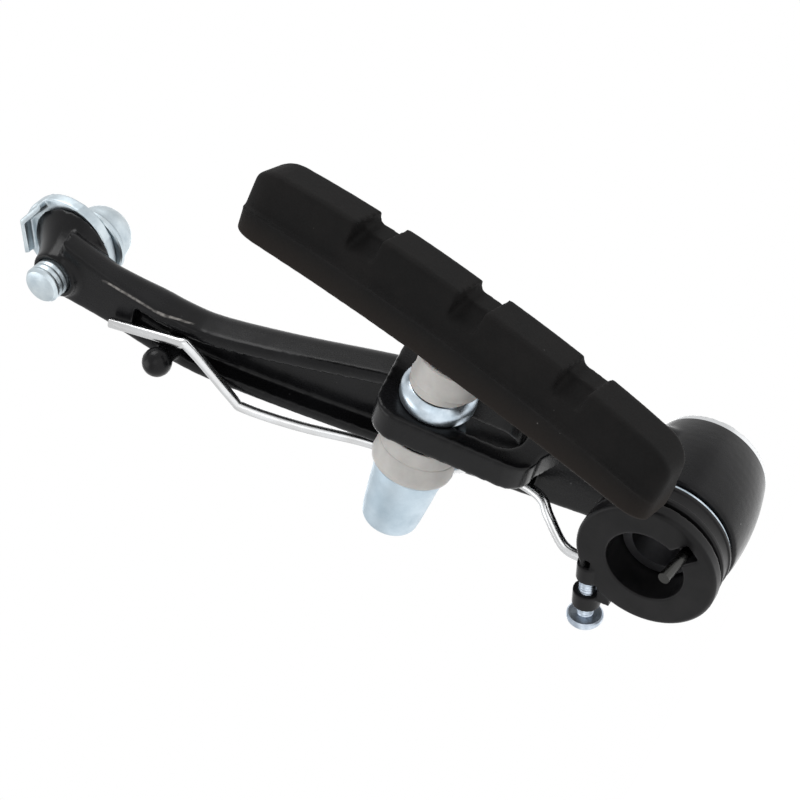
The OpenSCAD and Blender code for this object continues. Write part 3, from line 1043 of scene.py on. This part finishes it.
@dataclass
class PadAssembly(SubAssembly):
    """Rubber block, its post, the ball-faced washers on both sides of the lug, and the nut."""

    length: float = 73.7
    thick: float = 11.0
    base: float = 9.6
    ridge: float = 14.44
    base_w: float = 5.05
    face_w: float = 3.5
    end_r: float = 4.0
    grooves: tuple[float, ...] = (17.6, -0.6, -18.8)
    groove_w: float = 4.8
    groove_d: float = 1.3
    groove_edge: float = 0.7
    tool: Span = (7.0, 9.0)
    scoop_tilt: float = 24.0
    scoop_more: float = 0.3
    bowed: float = 1.7
    bow_at: float = 36.0
    far_rise: float = 1.2
    middle: float = 0.85
    grain: float = 0.24
    passes: int = 4
    post_bore: float = 3.05
    nut: Span = (-10.55, -21.9)
    nut_end: Span = (2.7, 1.7)
    socket: float = 5.0

    def build(self) -> None:
        """Builds the pad and what holds it."""
        self.pad()
        self.upper_washers()
        self.lower_washers()
        self.long_nut()
        self.repaint("pad_stud", Slot.SCREW_ZINC)

    def pad(self) -> None:
        """Moulds the rubber block: one section is drawn out along the pad, then grooved."""
        place = self.sizes.on_post()
        piece = self.drawn_block(place)
        top, side = self.tool
        for station in self.grooves:
            for tilt, more in ((0.0, 0.0), (self.scoop_tilt, self.scoop_more)):
                middle = Matrix.Translation(Vector((
                    self.base + self.thick - (self.groove_d + more), self.bow(station), station)) * MM)
                scoop = middle @ Matrix.Rotation(math.radians(-tilt), 4, "Z")
                half = self.groove_w / 2
                apart = 0.001 * tilt  # keeps the two cuts' flat sides from lying in one plane
                low = (0.0, -side, -half + apart)
                high = (top, side if tilt == 0 else 0.03, half + apart)
                tool = eased(block("groove", low, high, place @ scoop), self.groove_edge)
                joined(piece, tool, cut=True)
        moulded(piece, self.grain, self.passes)
        self.dress(piece, Body.PAD, Slot.PAD_RUBBER, "brake_pad")

    def bow(self, station: float) -> float:
        """Says how far the pad's middle line bends aside at a station, all in millimetres."""
        return -self.bowed * (station / self.bow_at) ** 2

    def reach(self, station: float) -> Span:
        """Size of the pad's section at a station.

        Args:
            station: place along the pad in millimetres.

        Returns:
            Its height and its width as shares of the full section.
        """
        near = max(self.end_r - (self.length / 2 - abs(station)), 0) / self.end_r
        loss = 1 - math.sqrt(max(1 - near * near, 0))
        height = (self.thick + 0.45 - self.bowed * (station / self.bow_at) ** 2
                  + self.far_rise * max(station, 0) / self.bow_at - 3 * loss)
        return height / self.thick, 1 - 0.5 * loss

    def drawn_block(self, place: Matrix) -> Piece:
        """Draws the pad's section out along its length.

        Args:
            place: frame of the pad's post.

        Returns:
            The block, before its grooves are cut.
        """
        half, face = self.length / 2, self.base + self.thick
        side = [(self.base, self.base_w - 0.5), (self.base + 0.6, self.base_w),
                (self.ridge - 0.3, self.base_w + 0.05), (self.ridge, self.base_w + 0.42),
                (self.ridge + 0.35, self.base_w - 0.5), (face - 0.8, self.face_w),
                (face - 0.25, self.face_w - 0.2), (face, self.face_w - 0.8)]
        section = side + [(x, -y) for x, y in reversed(side)]
        ends = [0, 0.12, 0.45, 1, 1.8, 2.8, 4]
        inner = [(2 * k / 16 - 1) * (half - 4) for k in range(1, 16)]
        stations = [e - half for e in ends] + inner + [half - e for e in reversed(ends)]
        clear_selection()
        bpy.ops.mesh.primitive_circle_add(vertices=len(section), radius=MM, fill_type="NGON")
        piece = bpy.context.active_object
        piece.name = "rubber_pad"
        high, wide = self.reach(stations[0])
        for vertex, (x, y) in zip(piece.data.vertices, section):
            vertex.co = Vector((self.base + (x - self.base) * high, y * wide + self.bow(stations[0]),
                                stations[0])) * MM
        bpy.ops.object.mode_set(mode="EDIT")
        bpy.ops.mesh.select_all(action="SELECT")
        for last, station in zip(stations, stations[1:]):
            shift = (0, (self.bow(station) - self.bow(last)) * MM, (station - last) * MM)
            bpy.ops.mesh.extrude_region_move(TRANSFORM_OT_translate={"value": shift})
            next_high, next_wide = self.reach(station)
            bpy.ops.transform.resize(
                value=(next_high / high, next_wide / wide, 1),
                center_override=(self.base * MM, self.bow(station) * MM, station * MM))
            high, wide = next_high, next_wide
        bpy.ops.mesh.select_all(action="SELECT")
        bpy.ops.mesh.quads_convert_to_tris()
        bpy.ops.mesh.normals_make_consistent(inside=False)
        bpy.ops.object.mode_set(mode="OBJECT")
        return settle(piece, place @ self.sizes.at(0, 0, self.middle))

    def stacked(self, name: str, profile: Profile, tilted: bool) -> Piece:
        """Turns a washer of the stack.

        Args:
            name: the washer's name.
            profile: its closed profile, stations from the pivot point.
            tilted: True for a cup, square to the post, False for a dome, square to the lug.

        Returns:
            The new washer.
        """
        place = self.sizes.post_axis() if tilted else self.sizes.lug_axis()
        piece = turned(name, profile, place, ring=True, sides=FINE_SIDES)
        return eased(piece, 0.05)

    def upper_washers(self) -> None:
        """Turns the cup and the dome on the rim side."""
        cup = self.stacked("upper_nylon_cup", [
            (3.05, 6.1), (3.14, 6.1), (3.16, 6.65), (3.7, 6.41), (4.3, 6.02), (5.0, 5.46), (5.18, 5.52),
            (5.2, 5.75), (5.0, 6.2), (4.95, 6.5), (4.9, 9.2), (4.6, 9.5), (3.05, 9.55)], True)
        ball = turned("ball", [
            (3.05, 6.66), (3.8, 6.26), (4.52, 5.76), (4.8, 6.0), (4.0, 6.64), (3.05, 7.12)],
            self.sizes.lug_axis(), ring=True, sides=FINE_SIDES)
        bored(ball, self.post_bore + 0.02, (4.0, 8.0), self.sizes.post_axis())
        joined(cup, ball, cut=False)
        shaded(cup, 30)
        self.dress(cup, Body.CUPS, Slot.CUP_NYLON, "upper_cup_washer")
        dome = self.stacked("upper_zinc_dome", [
            (4.5, 2.55), (5.35, 2.55), (5.6, 2.75), (5.67, 3.1), (5.67, 4.1), (5.6, 4.4), (5.4, 4.75),
            (5.1, 5.12), (4.8, 5.4), (4.6, 5.55), (4.5, 5.5)], False)
        self.dress(dome, Body.CARRIAGE, Slot.WASHER_STEEL, "upper_dome_washer")

    def lower_washers(self) -> None:
        """Turns the dome and the thick cup on the far side."""
        dome = self.stacked("lower_zinc_dome", [
            (4.4, -2.55), (5.4, -2.55), (5.6, -2.8), (5.6, -3.5), (5.5, -3.75), (5.0, -4.42),
            (4.5, -4.93), (4.4, -4.9)], False)
        self.dress(dome, Body.CARRIAGE, Slot.WASHER_STEEL, "lower_dome_washer")
        cup = self.stacked("lower_nylon_cup", [
            (3.05, -6.13), (3.9, -5.63), (4.8, -4.89), (5.5, -4.1), (5.68, -3.98), (5.85, -4.1),
            (5.98, -6.0), (6.02, -6.2), (5.92, -6.3), (5.94, -6.45), (6.06, -6.55), (6.15, -8.3),
            (6.3, -9.3), (6.15, -9.95), (5.7, -10.4), (5.2, -10.5), (3.05, -10.5)], True)
        self.dress(cup, Body.CUPS, Slot.CUP_NYLON, "lower_cup_washer")

    def long_nut(self) -> None:
        """Turns the long smooth nut, with its socket and its round end."""
        base, end = self.nut
        flat, arc = self.nut_end
        place = self.sizes.post_axis()
        turns = [math.radians(angle) for angle in range(0, 91, 10)]
        piece = turned("long_pad_nut", [
            (4.7, base), (5.1, base - 0.1), (5.3, base - 0.35), (5.3, base - 1.6), (5.2, base - 2.1),
            (4.95, base - 5.0), (4.55, base - 8.9),
            *((flat + arc * math.cos(t), end + arc - arc * math.sin(t)) for t in turns)],
            place, sides=FINE_SIDES)
        bored(piece, self.post_bore, (base + 1, base - 7), place)
        socketed(piece, self.socket, (end - 1, end + 3), place)
        shaded(piece, 30)
        self.dress(piece, Body.PAD, Slot.NUT_ZINC, "pad_nut")


@dataclass(frozen=True)
class Lamp:
    """One soft box of the studio, in metres and watts."""

    name: str
    place: Point
    width: float
    power: float


@dataclass(frozen=True)
class Studio:
    """The floor, lamps, world and camera of a plain product picture, in metres.

    The camera's lens is in millimetres of a film 36 mm wide.
    """

    eye: Point = (0.182827, -0.177411, -0.009949)
    right: Point = (0.21256, 0.49139, -0.8446)
    up: Point = (0.66358, 0.56188, 0.49391)
    back: Point = (0.71727, -0.66545, -0.20664)
    lens: float = 78.27
    film: float = 36.0
    floor_z: float = -0.07
    floor_size: float = 6.0
    floor_glow: float = 0.78
    world_light: float = 0.46
    aim: Point = (0.0, -0.004, 0.045)
    lamps: tuple[Lamp, ...] = (
        Lamp("key", (0.36, 0.12, 0.42), 0.3, 1.3),
        Lamp("left", (-0.1, -0.35, 0.4), 0.35, 0.65),
        Lamp("low", (0.3, -0.35, -0.02), 0.3, 0.25),
        Lamp("back", (-0.4, 0.35, 0.25), 0.4, 0.85),
    )

    def camera(self) -> None:
        """Places the camera at the photograph's viewing angle."""
        data = bpy.data.cameras.new("camera")
        data.lens = self.lens
        data.sensor_width = self.film
        data.clip_start = 0.01
        camera = bpy.data.objects.new("camera", data)
        bpy.context.scene.collection.objects.link(camera)
        turn = Matrix((self.right, self.up, self.back)).transposed().to_4x4()
        camera.matrix_world = Matrix.Translation(self.eye) @ turn
        bpy.context.scene.camera = camera

    def lights(self) -> None:
        """Hangs the soft boxes, all aimed at the arm's middle."""
        for lamp in self.lamps:
            data = bpy.data.lights.new(lamp.name, "AREA")
            data.shape = "SQUARE"
            data.size = lamp.width
            data.energy = lamp.power
            box = bpy.data.objects.new(lamp.name, data)
            bpy.context.scene.collection.objects.link(box)
            box.location = lamp.place
            away = Vector(lamp.place) - Vector(self.aim)
            box.rotation_euler = away.to_track_quat("Z", "Y").to_euler()

    def world(self) -> None:
        """Makes the world: white to the camera and in reflections, softer as a light."""
        world = bpy.data.worlds.new("studio")
        bpy.context.scene.world = world
        tree = NodeTree(world)
        inputs = tree.tree.nodes["Background"].inputs
        inputs["Color"].default_value = (1, 1, 1, 1)
        tree.feed(inputs["Strength"], tree.span(tree.seen(), 0, 1, self.world_light, 1))

    def floor(self) -> None:
        """Lays the pale floor, lifted to white for the camera but keeping the shadow."""
        clear_selection()
        bpy.ops.mesh.primitive_plane_add(size=self.floor_size, location=(0, 0, self.floor_z))
        floor = bpy.context.active_object
        floor.name = "studio_floor"
        r = Recipe("pale_floor")
        r.set(Base_Color=(0.82, 0.82, 0.82), Roughness=0.9, Specular_IOR_Level=0.1,
              Emission_Color=(1.0, 1.0, 1.0), Emission_Strength=r.times(r.seen(), self.floor_glow))
        floor.data.materials.append(r.material)

    def build(self) -> None:
        """Sets the whole studio up."""
        bpy.context.scene.view_settings.view_transform = "Standard"
        self.camera()
        self.world()
        self.lights()
        self.floor()


def main() -> None:
    """Loads the frame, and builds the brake's sub-assemblies and the studio."""
    logging.basicConfig(level=logging.INFO, format="%(message)s")
    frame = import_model()
    Studio().build()
    sizes, finishes = BrakeFrame(), make_finishes()
    for kind in (ArmCasting, SpringUnit, CableClamp, PadAssembly):
        kind(frame["nodes"], sizes, finishes).build()
    clear_selection()
    bpy.context.view_layer.update()


if __name__ == "__main__":
    main()
